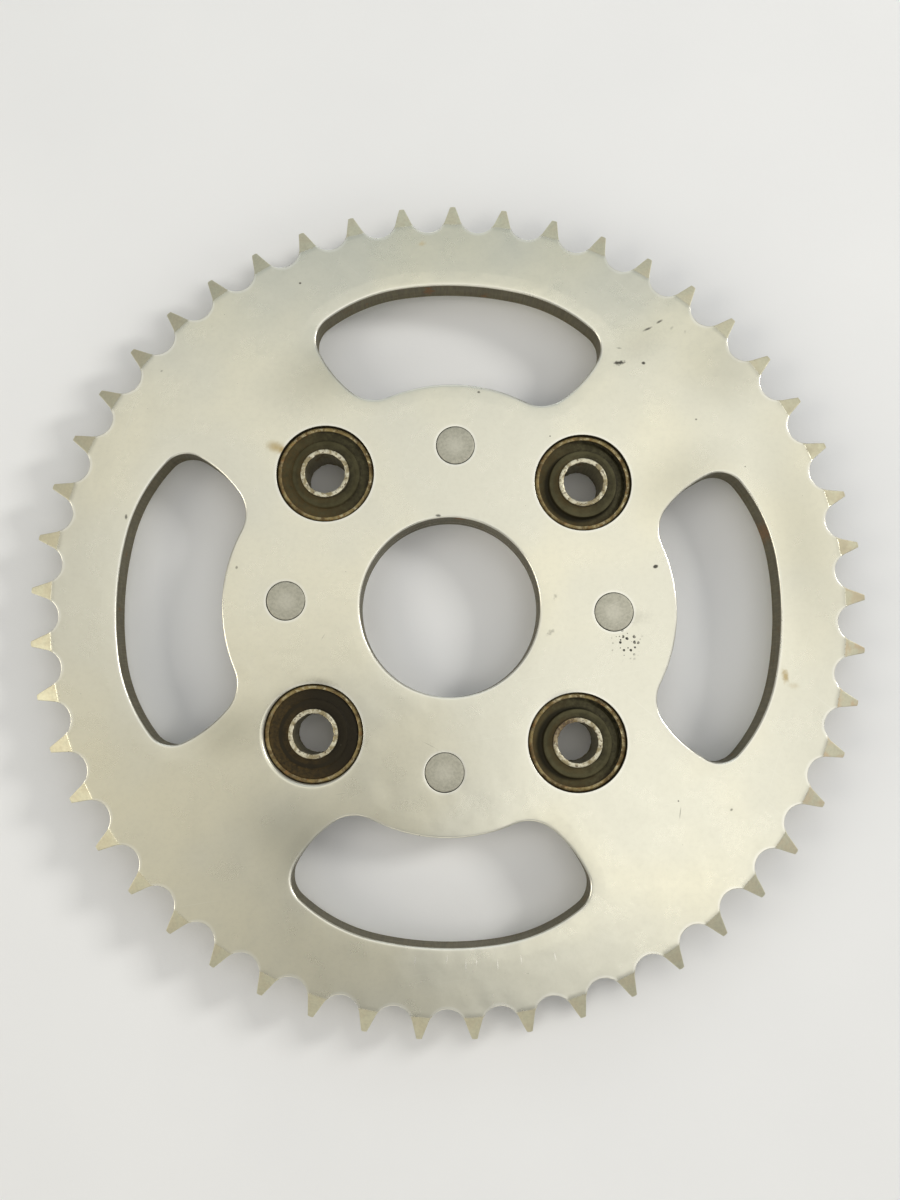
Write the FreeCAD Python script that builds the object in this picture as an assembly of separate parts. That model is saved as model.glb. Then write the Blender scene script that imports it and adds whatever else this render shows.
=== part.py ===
import FreeCAD, Part
import math
import os

# A rear sprocket for a small motorcycle: a toothed steel plate, a backing plate riveted behind it, and
# four rubber bushes pressed through both on the diagonals. Each bush is an outer steel sleeve, a moulded
# rubber ring and an inner steel sleeve, which a bolt clamps against the wheel hub.
#
# Frame: millimetres. The origin is on the sprocket's axis, in the plane where the inner sleeves seat on
# the hub. +Z points out of the hub, towards the outer face. Two of the four slots lie on +X and +Y.

# Chain and teeth
CHAIN_PITCH = 12.7
ROLLER_DIAMETER = 8.51
TOOTH_COUNT = 49
SEAT_RADIUS = 4.6  # bottom of a tooth gap, a little wider than a new roller seat
FLANK_ANGLE = 20.0  # between a tooth's flank and the radial line through its gap
TIP_RADIUS = 102.5
TIP_CROWN = 0.35  # how far the rounded tip stands above its two corners
FIRST_TOOTH_ANGLE = 3.3  # from +X
BEVEL_START_RADIUS = 96.8
BEVEL_DEPTH = 2.0  # what each side loses by the tip
BEVEL_BULGE = 0.12  # how far the bevel's middle stands proud of a straight one

# Heights above the hub
SLEEVE_STANDOFF = 1.0  # inner sleeves stand this far out of the back
BACKING_THICKNESS = 3.6
PLATE_THICKNESS = 7.2
SLEEVE_PROUD = 0.4  # and this far out of the front

# Plates
CENTRE_HOLE_RADIUS = 22.0
FACE_EDGE_BEVEL = 0.4  # edges of the centre hole and slots on the plates' outer faces
BUSH_EDGE_BEVEL = 0.15  # edges of the bush holes there
EDGE_BREAK = 0.3  # deburred back edges of the slots
BACKING_CORNER_RADIUS = 17.0  # around each bush

# Slots, each made of arcs about centres on or beside the slot's own centre line
SLOT_ANGLES = (0.0, 90.0, 180.0, 270.0)
SLOT_OUTER_RADIUS = 81.0  # about the sprocket's axis
SLOT_SHOULDER_RADIUS = 40.15
SLOT_SHOULDER_ANGLE = 10.5  # where the outer arc turns into a shoulder
SLOT_SIDE_RADIUS = 30.0
SLOT_SIDE_CENTRE = (76.6, 8.2)
SLOT_INNER_RADIUS = 40.0
SLOT_INNER_REACH = 55.5  # where the inner edge crosses the centre line
SLOT_OUTER_FILLET = 6.5
SLOT_INNER_FILLET = 9.0

# Rivets
RIVET_CIRCLE_DIAMETER = 80.0
RIVET_HOLE_RADIUS = 4.8
RIVET_HEAD_RADIUS = 7.0  # countersunk into the backing plate
RIVET_HEAD_DEPTH = 2.2
RIVET_GROOVE_WIDTH = 0.2  # open ring around the front end
RIVET_GROOVE_DEPTH = 1.5
RIVET_EDGE_BREAK = 0.25
RIVET_ANGLES = {"right": 0.0, "top": 90.0, "left": 180.0, "bottom": 270.0}

# Bushes
BOLT_CIRCLE_DIAMETER = 90.0
BUSH_ANGLES = {
    "upper_right": 45.0,
    "upper_left": 135.0,
    "lower_left": 225.0,
    "lower_right": 315.0,
}
OUTER_SLEEVE_RADIUS = 12.0
OUTER_SLEEVE_WALL = 1.0
OUTER_SLEEVE_RECESS = 0.8  # pressed this far below the toothed plate's face
INNER_SLEEVE_RADIUS = 6.0
INNER_SLEEVE_BORE_RADIUS = 5.0
SLEEVE_EDGE_BREAK = 0.25
BOND_GAP = 0.02  # adhesive between rubber and inner sleeve
PAD_RADIUS = 8.4  # raised rubber around the inner sleeve
PAD_SLOPE = 0.4
PAD_DROP = 0.5  # pad below the plates' faces
GROOVE_DROPS = {  # rubber outside the pad below the plates' faces: how far each moulding filled
    "upper_right": 1.9,
    "upper_left": 1.3,
    "lower_left": 0.9,
    "lower_right": 1.7,
}

AXIS = FreeCAD.Vector(0, 0, 1)
CENTRE = FreeCAD.Vector(0, 0, 0)
FULL_TURN = 360.0
HALF_TURN = 180.0
OVERLAP = 1.0  # cutters run this far past what they cut
FIND_RANGE = 1e-3  # an edge within this distance of a place is the one meant

back_z = SLEEVE_STANDOFF
joint_z = back_z + BACKING_THICKNESS
front_z = joint_z + PLATE_THICKNESS
sleeve_top_z = front_z + SLEEVE_PROUD
pitch_radius = CHAIN_PITCH / 2 / math.sin(math.pi / TOOTH_COUNT)
root_radius = pitch_radius - ROLLER_DIAMETER / 2


def polar(radius, degrees, z=0.0):
    """The point at this radius and angle about the sprocket's axis."""
    angle = math.radians(degrees)
    return FreeCAD.Vector(radius * math.cos(angle), radius * math.sin(angle), z)


def cylinder(radius, bottom, top, centre=CENTRE):
    base = FreeCAD.Vector(centre.x, centre.y, bottom)
    return Part.makeCylinder(radius, top - bottom, base, AXIS)


def revolved(profile, centre=CENTRE):
    """A solid of revolution about the vertical line through centre, from (radius, z) corners."""
    points = [FreeCAD.Vector(radius, 0, z) for radius, z in profile]
    face = Part.Face(Part.makePolygon(points + points[:1]))
    solid = face.revolve(CENTRE, AXIS, FULL_TURN)
    solid.translate(FreeCAD.Vector(centre.x, centre.y, 0))
    return solid


def turned_copies(shape, angles):
    """Copies of shape, turned about the sprocket's axis."""
    copies = []
    for angle in angles:
        copy = shape.copy()
        copy.rotate(CENTRE, AXIS, angle)
        copies.append(copy)
    return copies


def gap_outline(gap_angle):
    """One tooth gap's flank, seat and flank, in order, about the gap's centre line."""
    lean = math.radians(FLANK_ANGLE)
    seat_height = root_radius + SEAT_RADIUS
    flank_foot = (SEAT_RADIUS * math.cos(lean), seat_height - SEAT_RADIUS * math.sin(lean))
    corner_radius = TIP_RADIUS - TIP_CROWN
    along = flank_foot[0] * math.sin(lean) + flank_foot[1] * math.cos(lean)
    reach = math.hypot(*flank_foot)
    run = math.sqrt(along**2 - reach**2 + corner_radius**2) - along
    corner = (flank_foot[0] + run * math.sin(lean), flank_foot[1] + run * math.cos(lean))

    def place(sideways, outward):
        spread = math.degrees(math.atan2(sideways, outward))
        return polar(math.hypot(sideways, outward), gap_angle + spread)

    first_corner = place(-corner[0], corner[1])
    first_foot = place(-flank_foot[0], flank_foot[1])
    last_foot = place(*flank_foot)
    last_corner = place(*corner)
    edges = [
        Part.makeLine(first_corner, first_foot),
        Part.Arc(first_foot, place(0, root_radius), last_foot).toShape(),
        Part.makeLine(last_foot, last_corner),
    ]
    return edges, first_corner, last_corner


def toothed_face():
    """The plate's outline: tooth gaps joined by rounded tips."""
    step = FULL_TURN / TOOTH_COUNT
    gaps = [gap_outline(FIRST_TOOTH_ANGLE + (n + 0.5) * step) for n in range(TOOTH_COUNT)]
    edges = []
    for n, (gap_edges, _, last_corner) in enumerate(gaps):
        next_corner = gaps[(n + 1) % TOOTH_COUNT][1]
        crown = polar(TIP_RADIUS, FIRST_TOOTH_ANGLE + (n + 1) * step)
        edges += gap_edges
        edges.append(Part.Arc(last_corner, crown, next_corner).toShape())
    return Part.Face(Part.Wire(edges))


def bevelled_disc():
    """A disc of the plate's thickness whose two sides curve in over the height of the teeth."""
    rim = TIP_RADIUS + OVERLAP
    rise = rim - BEVEL_START_RADIUS
    rim_depth = BEVEL_DEPTH * (rise / (TIP_RADIUS - BEVEL_START_RADIUS))

    def bevel(face_z, inward):
        start = FreeCAD.Vector(BEVEL_START_RADIUS, 0, face_z)
        depth = rim_depth / 2 - BEVEL_BULGE
        via = FreeCAD.Vector(BEVEL_START_RADIUS + rise / 2, 0, face_z + inward * depth)
        end = FreeCAD.Vector(rim, 0, face_z + inward * rim_depth)
        return start, end, Part.Arc(start, via, end).toShape()

    lower_start, lower_rim, lower_bevel = bevel(joint_z, 1)
    upper_start, upper_rim, upper_bevel = bevel(front_z, -1)
    lower_middle = FreeCAD.Vector(0, 0, joint_z)
    upper_middle = FreeCAD.Vector(0, 0, front_z)
    edges = [
        Part.makeLine(lower_middle, lower_start),
        lower_bevel,
        Part.makeLine(lower_rim, upper_rim),
        upper_bevel,
        Part.makeLine(upper_start, upper_middle),
        Part.makeLine(upper_middle, lower_middle),
    ]
    profile = Part.Face(Part.Wire(Part.__sortEdges__(edges)))
    disc = profile.revolve(CENTRE, AXIS, FULL_TURN)
    disc.rotate(CENTRE, AXIS, FIRST_TOOTH_ANGLE + HALF_TURN / TOOTH_COUNT)
    return disc


def circles_meet(first, first_radius, second, second_radius):
    """The upper of the two points where two circles cross."""
    between = second - first
    gap = between.Length
    along = (gap**2 + first_radius**2 - second_radius**2) / (2 * gap)
    aside = math.sqrt(first_radius**2 - along**2)
    between.normalize()
    across = AXIS.cross(between)
    foot = first + between * along
    return max(foot + across * aside, foot - across * aside, key=lambda point: point.y)


def arc_about(centre, start, end):
    """The shorter arc about centre from start to end."""
    towards = (start - centre) + (end - centre)
    towards.normalize()
    via = centre + towards * (start - centre).Length
    return Part.Arc(start, via, end).toShape()


def mirrored(point):
    return FreeCAD.Vector(point.x, -point.y, point.z)


def upright_edges(shape, places):
    """The upright edges of a straight-sided solid that stand at these places."""
    found = []
    for edge in shape.Edges:
        start, end = (vertex.Point for vertex in edge.Vertexes)
        is_upright = abs(start.z - end.z) > OVERLAP
        if is_upright and any(math.hypot(start.x - p.x, start.y - p.y) < FIND_RANGE for p in places):
            found.append(edge)
    return found


def slot_cutter():
    """The slot on +X: six arcs, with its four corners rounded."""
    shoulder = polar(SLOT_OUTER_RADIUS - SLOT_SHOULDER_RADIUS, SLOT_SHOULDER_ANGLE)
    side = FreeCAD.Vector(*SLOT_SIDE_CENTRE, 0)
    inner = FreeCAD.Vector(SLOT_INNER_REACH - SLOT_INNER_RADIUS, 0, 0)
    bend = polar(SLOT_OUTER_RADIUS, SLOT_SHOULDER_ANGLE)
    outer_corner = circles_meet(shoulder, SLOT_SHOULDER_RADIUS, side, SLOT_SIDE_RADIUS)
    inner_corner = circles_meet(side, SLOT_SIDE_RADIUS, inner, SLOT_INNER_RADIUS)
    edges = [
        arc_about(CENTRE, mirrored(bend), bend),
        arc_about(shoulder, bend, outer_corner),
        arc_about(side, outer_corner, inner_corner),
        arc_about(inner, inner_corner, mirrored(inner_corner)),
        arc_about(mirrored(side), mirrored(inner_corner), mirrored(outer_corner)),
        arc_about(mirrored(shoulder), mirrored(outer_corner), mirrored(bend)),
    ]
    outline = Part.Face(Part.Wire(edges))
    outline.translate(FreeCAD.Vector(0, 0, joint_z - OVERLAP))
    slot = outline.extrude(AXIS * (PLATE_THICKNESS + 2 * OVERLAP))
    for corner, fillet in ((outer_corner, SLOT_OUTER_FILLET), (inner_corner, SLOT_INNER_FILLET)):
        slot = slot.makeFillet(fillet, upright_edges(slot, (corner, mirrored(corner))))
    return slot


def level_edges(shape, height):
    """Every edge at this height inside the ring of slots, or on the slots themselves."""
    found = []
    for edge in shape.Edges:
        is_level = all(abs(vertex.Z - height) < FIND_RANGE for vertex in edge.Vertexes)
        reach = max(math.hypot(vertex.X, vertex.Y) for vertex in edge.Vertexes)
        if is_level and reach < SLOT_OUTER_RADIUS + OVERLAP:
            found.append(edge)
    return found


def hole_edges(shape, height, radius):
    """The edges of round holes of this radius at this height."""
    found = []
    for edge in level_edges(shape, height):
        if isinstance(edge.Curve, Part.Circle) and abs(edge.Curve.Radius - radius) < FIND_RANGE:
            found.append(edge)
    return found


def bush_centres():
    return {name: polar(BOLT_CIRCLE_DIAMETER / 2, angle) for name, angle in BUSH_ANGLES.items()}


def rivet_centres():
    return {name: polar(RIVET_CIRCLE_DIAMETER / 2, angle) for name, angle in RIVET_ANGLES.items()}


def with_large_holes(plate, bottom, top, face_z):
    """The plate with its centre hole and bush holes, whose edges are bevelled on the face at face_z."""
    plate = plate.cut(cylinder(CENTRE_HOLE_RADIUS, bottom - OVERLAP, top + OVERLAP))
    for centre in bush_centres().values():
        plate = plate.cut(cylinder(OUTER_SLEEVE_RADIUS, bottom - OVERLAP, top + OVERLAP, centre))
    plate = plate.makeChamfer(FACE_EDGE_BEVEL, hole_edges(plate, face_z, CENTRE_HOLE_RADIUS))
    return plate.makeChamfer(BUSH_EDGE_BEVEL, hole_edges(plate, face_z, OUTER_SLEEVE_RADIUS))


def sprocket_plate():
    blank = toothed_face()
    blank.translate(FreeCAD.Vector(0, 0, joint_z - OVERLAP))
    blank = blank.extrude(AXIS * (PLATE_THICKNESS + 2 * OVERLAP))
    plate = blank.common(bevelled_disc())
    plate = plate.cut(Part.makeCompound(turned_copies(slot_cutter(), SLOT_ANGLES)))
    plate = plate.makeChamfer(FACE_EDGE_BEVEL, level_edges(plate, front_z))
    plate = plate.makeChamfer(EDGE_BREAK, level_edges(plate, joint_z))
    plate = with_large_holes(plate, joint_z, front_z, front_z)
    for centre in rivet_centres().values():
        plate = plate.cut(cylinder(RIVET_HOLE_RADIUS, joint_z - OVERLAP, front_z + OVERLAP, centre))
    return plate


def backing_plate():
    """A rounded square whose corners are centred on the bushes."""
    corner = polar(BOLT_CIRCLE_DIAMETER / 2, BUSH_ANGLES["upper_right"])
    reach = corner.x + BACKING_CORNER_RADIUS
    base = FreeCAD.Vector(-reach, -reach, back_z)
    plate = Part.makeBox(2 * reach, 2 * reach, BACKING_THICKNESS, base)
    box_corners = [FreeCAD.Vector(x, y, 0) for x in (-reach, reach) for y in (-reach, reach)]
    plate = plate.makeFillet(BACKING_CORNER_RADIUS, upright_edges(plate, box_corners))
    plate = plate.makeChamfer(FACE_EDGE_BEVEL, level_edges(plate, back_z))
    plate = with_large_holes(plate, back_z, joint_z, back_z)
    for centre in rivet_centres().values():
        plate = plate.cut(rivet_countersink(centre))
    return plate


def rivet_countersink(centre):
    profile = [
        (0, back_z),
        (RIVET_HEAD_RADIUS, back_z),
        (RIVET_HOLE_RADIUS, back_z + RIVET_HEAD_DEPTH),
        (RIVET_HOLE_RADIUS, joint_z + OVERLAP),
        (0, joint_z + OVERLAP),
    ]
    return revolved(profile, centre)


def rivet(centre):
    """Countersunk at the back and flush at the front, where an open ring shows around its end."""
    end_radius = RIVET_HOLE_RADIUS - RIVET_GROOVE_WIDTH
    groove_z = front_z - RIVET_GROOVE_DEPTH
    profile = [
        (0, back_z),
        (RIVET_HEAD_RADIUS, back_z),
        (RIVET_HOLE_RADIUS, back_z + RIVET_HEAD_DEPTH),
        (RIVET_HOLE_RADIUS, groove_z),
        (end_radius, groove_z),
        (end_radius, front_z - RIVET_EDGE_BREAK),
        (end_radius - RIVET_EDGE_BREAK, front_z),
        (0, front_z),
    ]
    return revolved(profile, centre)


def sleeve(inner_radius, outer_radius, bottom, top, centre):
    """A steel tube with a small bevel on all four end edges."""
    cut = SLEEVE_EDGE_BREAK
    profile = [
        (inner_radius + cut, bottom),
        (outer_radius - cut, bottom),
        (outer_radius, bottom + cut),
        (outer_radius, top - cut),
        (outer_radius - cut, top),
        (inner_radius + cut, top),
        (inner_radius, top - cut),
        (inner_radius, bottom + cut),
    ]
    return revolved(profile, centre)


def outer_sleeve(centre):
    inside = OUTER_SLEEVE_RADIUS - OUTER_SLEEVE_WALL
    return sleeve(inside, OUTER_SLEEVE_RADIUS, back_z, front_z - OUTER_SLEEVE_RECESS, centre)


def inner_sleeve(centre):
    return sleeve(INNER_SLEEVE_BORE_RADIUS, INNER_SLEEVE_RADIUS, 0.0, sleeve_top_z, centre)


def bush_rubber(centre, groove_drop):
    """A moulded ring with a raised pad round the inner sleeve on both sides."""
    inside = INNER_SLEEVE_RADIUS + BOND_GAP
    outside = OUTER_SLEEVE_RADIUS - OUTER_SLEEVE_WALL
    profile = [
        (inside, back_z + PAD_DROP),
        (PAD_RADIUS, back_z + PAD_DROP),
        (PAD_RADIUS + PAD_SLOPE, back_z + groove_drop),
        (outside, back_z + groove_drop),
        (outside, front_z - groove_drop),
        (PAD_RADIUS + PAD_SLOPE, front_z - groove_drop),
        (PAD_RADIUS, front_z - PAD_DROP),
        (inside, front_z - PAD_DROP),
    ]
    return revolved(profile, centre)


def write(name, shape):
    shape.exportStep(os.path.join("parts", name + ".step"))


def main():
    os.makedirs("parts", exist_ok=True)
    write("sprocket_plate", sprocket_plate())
    write("backing_plate", backing_plate())
    for name, centre in rivet_centres().items():
        write("rivet_" + name, rivet(centre))
    for name, centre in bush_centres().items():
        write("bush_outer_sleeve_" + name, outer_sleeve(centre))
        write("bush_rubber_" + name, bush_rubber(centre, GROOVE_DROPS[name]))
        write("bush_inner_sleeve_" + name, inner_sleeve(centre))


main()
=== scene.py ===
import math
import random
from dataclasses import dataclass

import bpy
import numpy as np
from mathutils import Matrix, Vector
from mathutils.geometry import delaunay_2d_cdt


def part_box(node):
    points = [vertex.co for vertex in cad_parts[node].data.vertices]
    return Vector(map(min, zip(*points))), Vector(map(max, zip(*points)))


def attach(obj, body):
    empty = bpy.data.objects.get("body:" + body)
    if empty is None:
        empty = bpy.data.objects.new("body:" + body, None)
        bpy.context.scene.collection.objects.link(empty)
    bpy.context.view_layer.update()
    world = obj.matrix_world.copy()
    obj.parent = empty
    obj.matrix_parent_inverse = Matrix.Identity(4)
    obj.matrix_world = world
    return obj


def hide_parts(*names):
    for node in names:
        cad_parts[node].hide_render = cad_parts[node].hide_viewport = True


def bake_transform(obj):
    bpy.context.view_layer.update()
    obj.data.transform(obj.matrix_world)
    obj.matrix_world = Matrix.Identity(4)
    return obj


# A motorcycle rear sprocket: toothed plate, riveted backing plate and four rubber bushes, each built here
# as a detailed mesh over its CAD node. Lengths are in millimetres until a mesh is written in metres.

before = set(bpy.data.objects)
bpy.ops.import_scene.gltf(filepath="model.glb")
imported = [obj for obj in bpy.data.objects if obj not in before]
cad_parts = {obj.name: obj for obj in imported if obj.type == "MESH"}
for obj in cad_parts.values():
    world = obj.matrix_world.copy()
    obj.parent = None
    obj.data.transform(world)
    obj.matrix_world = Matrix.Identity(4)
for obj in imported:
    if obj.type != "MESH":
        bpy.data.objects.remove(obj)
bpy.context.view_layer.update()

MM = 0.001
SEED = 49

# Teeth, as the CAD model has them
TOOTH_COUNT = 49
CHAIN_PITCH = 12.7
ROLLER_DIAMETER = 8.51
SEAT_RADIUS = 4.6
FLANK_ANGLE = math.radians(20.0)
TIP_RADIUS = 102.5
TIP_CROWN = 0.14
FIRST_TOOTH_ANGLE = math.radians(3.3)
BEVEL_START_RADIUS = 96.8
BEVEL_DEPTH = 2.0
BEVEL_BULGE = 0.12
BEVEL_OVERRUN = 1.0
PITCH_RADIUS = CHAIN_PITCH / 2 / math.sin(math.pi / TOOTH_COUNT)
ROOT_RADIUS = PITCH_RADIUS - ROLLER_DIAMETER / 2

# Slots, as the CAD model has them
SLOT_OUTER_RADIUS = 81.0
SLOT_SHOULDER_RADIUS = 40.15
SLOT_SHOULDER_ANGLE = math.radians(10.5)
SLOT_SIDE_RADIUS = 30.0
SLOT_SIDE_CENTRE = np.array([76.6, 8.2])
SLOT_INNER_RADIUS = 40.0
SLOT_INNER_REACH = 55.5
SLOT_OUTER_FILLET = 6.5
SLOT_INNER_FILLET = 9.0

CENTRE_HOLE_RADIUS = 22.0
BUSH_HOLE_RADIUS = 12.0
RIVET_HOLE_RADIUS = 4.8
BACKING_CORNER_RADIUS = 17.0
BUSH_HOLE_POINTS = 96
RIVET_HOLE_POINTS = 48
OUTLINE_SPACING = 0.8
FILL_SPACING = 1.7
CENTRE_HOLE_POINTS = 176
BUSH_NAMES = ("upper_right", "upper_left", "lower_left", "lower_right")
RIVET_NAMES = ("right", "top", "left", "bottom")


def millimetre_box(node):
    low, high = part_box(node)
    return np.array(low) / MM, np.array(high) / MM


def placed(name, data):
    """A new object in the scene."""
    piece = bpy.data.objects.new(name, data)
    bpy.context.scene.collection.objects.link(piece)
    return piece


def node_centre(node):
    low, high = millimetre_box(node)
    return (low[:2] + high[:2]) / 2


JOINT_Z, FRONT_Z = (corner[2] for corner in millimetre_box("sprocket_plate"))
BACK_Z = millimetre_box("backing_plate")[0][2]
SLEEVE_TOP_Z = millimetre_box("bush_inner_sleeve_upper_right")[1][2]
BUSH_CENTRES = {name: node_centre("bush_outer_sleeve_" + name) for name in BUSH_NAMES}
RIVET_CENTRES = {name: node_centre("rivet_" + name) for name in RIVET_NAMES}


# ---- shapes in the plane


def unit(vector):
    return vector / np.linalg.norm(vector)


def polar(radius, angle):
    """The point or points at this radius and angle."""
    return np.stack([radius * np.cos(angle), radius * np.sin(angle)], axis=-1)


def ring_angles(count):
    return 2 * math.pi * np.arange(count) / count


def arc(centre, start, end, spacing):
    """Points along the shorter arc about centre from start up to, but not including, end."""
    first = math.atan2(start[1] - centre[1], start[0] - centre[0])
    turn = math.atan2(end[1] - centre[1], end[0] - centre[0]) - first
    turn = (turn + math.pi) % (2 * math.pi) - math.pi
    radius = np.linalg.norm(start - centre)
    count = max(2, round(abs(turn) * radius / spacing))
    angles = first + turn * np.arange(count) / count
    return centre + polar(radius, angles)


def circle(centre, radius, count):
    """Anticlockwise points round a circle."""
    return np.array(centre) + polar(radius, ring_angles(count))


def circles_meet(first, first_radius, second, second_radius):
    """The upper of the two points where two circles cross."""
    between = second - first
    gap = np.linalg.norm(between)
    along = (gap**2 + first_radius**2 - second_radius**2) / (2 * gap)
    aside = math.sqrt(first_radius**2 - along**2)
    direction = between / gap
    across = np.array([-direction[1], direction[0]])
    foot = first + direction * along
    return max(foot + across * aside, foot - across * aside, key=lambda point: point[1])


def turned(points, angle):
    c, s = math.cos(angle), math.sin(angle)
    return points @ np.array([[c, s], [-s, c]])


def slot_outline():
    """The slot on +X, clockwise, so that the steel is on the left."""
    reach = SLOT_OUTER_RADIUS - SLOT_SHOULDER_RADIUS
    heading = polar(1.0, SLOT_SHOULDER_ANGLE)
    shoulder = reach * heading
    side = SLOT_SIDE_CENTRE
    inner = np.array([SLOT_INNER_REACH - SLOT_INNER_RADIUS, 0.0])
    outer_fillet = circles_meet(
        shoulder, SLOT_SHOULDER_RADIUS - SLOT_OUTER_FILLET, side, SLOT_SIDE_RADIUS - SLOT_OUTER_FILLET
    )
    inner_fillet = circles_meet(
        side, SLOT_SIDE_RADIUS - SLOT_INNER_FILLET, inner, SLOT_INNER_RADIUS + SLOT_INNER_FILLET
    )
    waist = np.array([SLOT_INNER_REACH, 0.0])
    path = [
        np.array([SLOT_OUTER_RADIUS, 0.0]),
        SLOT_OUTER_RADIUS * heading,
        shoulder + SLOT_SHOULDER_RADIUS * unit(outer_fillet - shoulder),
        side + SLOT_SIDE_RADIUS * unit(outer_fillet - side),
        side + SLOT_SIDE_RADIUS * unit(inner_fillet - side),
        inner + SLOT_INNER_RADIUS * unit(inner_fillet - inner),
        waist,
    ]
    centres = [np.zeros(2), shoulder, outer_fillet, side, inner_fillet, inner]
    half = np.vstack([arc(centre, *ends, OUTLINE_SPACING) for centre, *ends in zip(centres, path, path[1:])])
    other = np.vstack([waist[None], half[:0:-1] * np.array([1.0, -1.0])])
    return np.vstack([half, other])[::-1]


def tooth_outline(chance):
    """The toothed rim, anticlockwise. The tips differ a little, as cut teeth do."""
    seat_height = ROOT_RADIUS + SEAT_RADIUS
    half_seat = math.pi / 2 - FLANK_ANGLE
    lean = np.array([math.sin(FLANK_ANGLE), math.cos(FLANK_ANGLE)])
    foot = np.array([SEAT_RADIUS * math.cos(FLANK_ANGLE), seat_height - SEAT_RADIUS * math.sin(FLANK_ANGLE)])
    along = foot @ lean
    corner_radius = TIP_RADIUS - TIP_CROWN
    run = math.sqrt(along**2 - foot @ foot + corner_radius**2) - along
    swing = np.linspace(half_seat, -half_seat, 21)
    seat = np.column_stack([SEAT_RADIUS * np.sin(swing), seat_height - SEAT_RADIUS * np.cos(swing)])
    rise = np.linspace(0, 1, 7)[1:]
    flank = foot + np.outer(rise * run, lean)
    mirror = np.array([-1.0, 1.0])
    gap = np.vstack([flank[::-1], seat, flank * mirror])
    corner = flank[-1] * mirror
    half_pitch = math.pi / TOOTH_COUNT
    spread = math.atan2(corner[0], corner[1]) + half_pitch
    half_width = corner_radius * math.sin(spread)
    crown_height = TIP_RADIUS - corner_radius * math.cos(spread)
    crown_radius = (half_width**2 + crown_height**2) / (2 * crown_height)
    opening = math.asin(half_width / crown_radius)
    sweep = np.linspace(opening, -opening, 8)[1:-1]
    crown = np.column_stack([crown_radius * np.sin(sweep), crown_radius * (np.cos(sweep) - 1) + TIP_RADIUS])
    trims = [chance.uniform(0.0, 0.12) for _ in range(TOOTH_COUNT)]
    skews = [chance.uniform(-0.06, 0.06) for _ in range(TOOTH_COUNT)]
    points = []
    for n in range(TOOTH_COUNT):
        for shape, turn in ((gap, n + 0.5), (crown, n + 1)):
            is_next = (shape[:, 0] < 0) | (turn == n + 1)
            trim = np.where(is_next, trims[n], trims[n - 1])
            skew = np.where(is_next, skews[n], skews[n - 1])
            radius = np.hypot(shape[:, 0], shape[:, 1])
            height = np.clip((radius - PITCH_RADIUS) / (TIP_RADIUS - PITCH_RADIUS), 0, 1)
            radius = radius - trim * height**2
            angle = FIRST_TOOTH_ANGLE + turn * 2 * half_pitch + skew * height**2 / TIP_RADIUS
            theta = angle - np.arctan2(shape[:, 0], shape[:, 1])
            points.append(polar(radius, theta))
    return np.vstack(points)


def rounded_square(reach, corner_radius, spacing):
    """Anticlockwise outline with its straight sides divided like its corners."""
    points = []
    flat = reach - corner_radius
    for quarter in range(4):
        angles = np.linspace(0, math.pi / 2, max(4, round(corner_radius * math.pi / 2 / spacing)))
        corner = flat + polar(corner_radius, angles)
        sides = np.linspace(-flat, flat, max(4, round(2 * flat / spacing)))[1:-1]
        side = np.column_stack([np.full(len(sides), reach), sides])
        points.append(turned(np.vstack([side, corner]), quarter * math.pi / 2))
    return np.vstack(points)


def outward_normals(outline):
    """Unit normals pointing out of the steel, which is on the left of the outline."""
    along = np.roll(outline, -1, axis=0) - np.roll(outline, 1, axis=0)
    along /= np.linalg.norm(along, axis=1)[:, None]
    return np.column_stack([along[:, 1], -along[:, 0]])


class Ripple:
    """A smooth random height over the plane: a sum of long waves, from -1 to 1 or so."""

    def __init__(self, chance, shortest, longest, count=14):
        self.waves = []
        for _ in range(count):
            heading = chance.uniform(0, math.pi)
            length = chance.uniform(shortest, longest)
            number = 2 * math.pi / length
            phase = chance.uniform(0, 6.3)
            self.waves.append((number * math.cos(heading), number * math.sin(heading), phase))

    def __call__(self, x, y):
        total = sum(np.sin(a * x + b * y + c) for a, b, c in self.waves)
        return total / math.sqrt(len(self.waves))


def around(chance, angles, orders, amplitude):
    """A smooth random offset round a ring."""
    total = np.zeros_like(angles)
    for order in orders:
        total += chance.uniform(0.3, 1.0) * np.sin(order * angles + chance.uniform(0, 6.3))
    return amplitude * total / math.sqrt(len(orders))


# ---- meshes


SHARP_ANGLE = math.radians(38.0)


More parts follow.
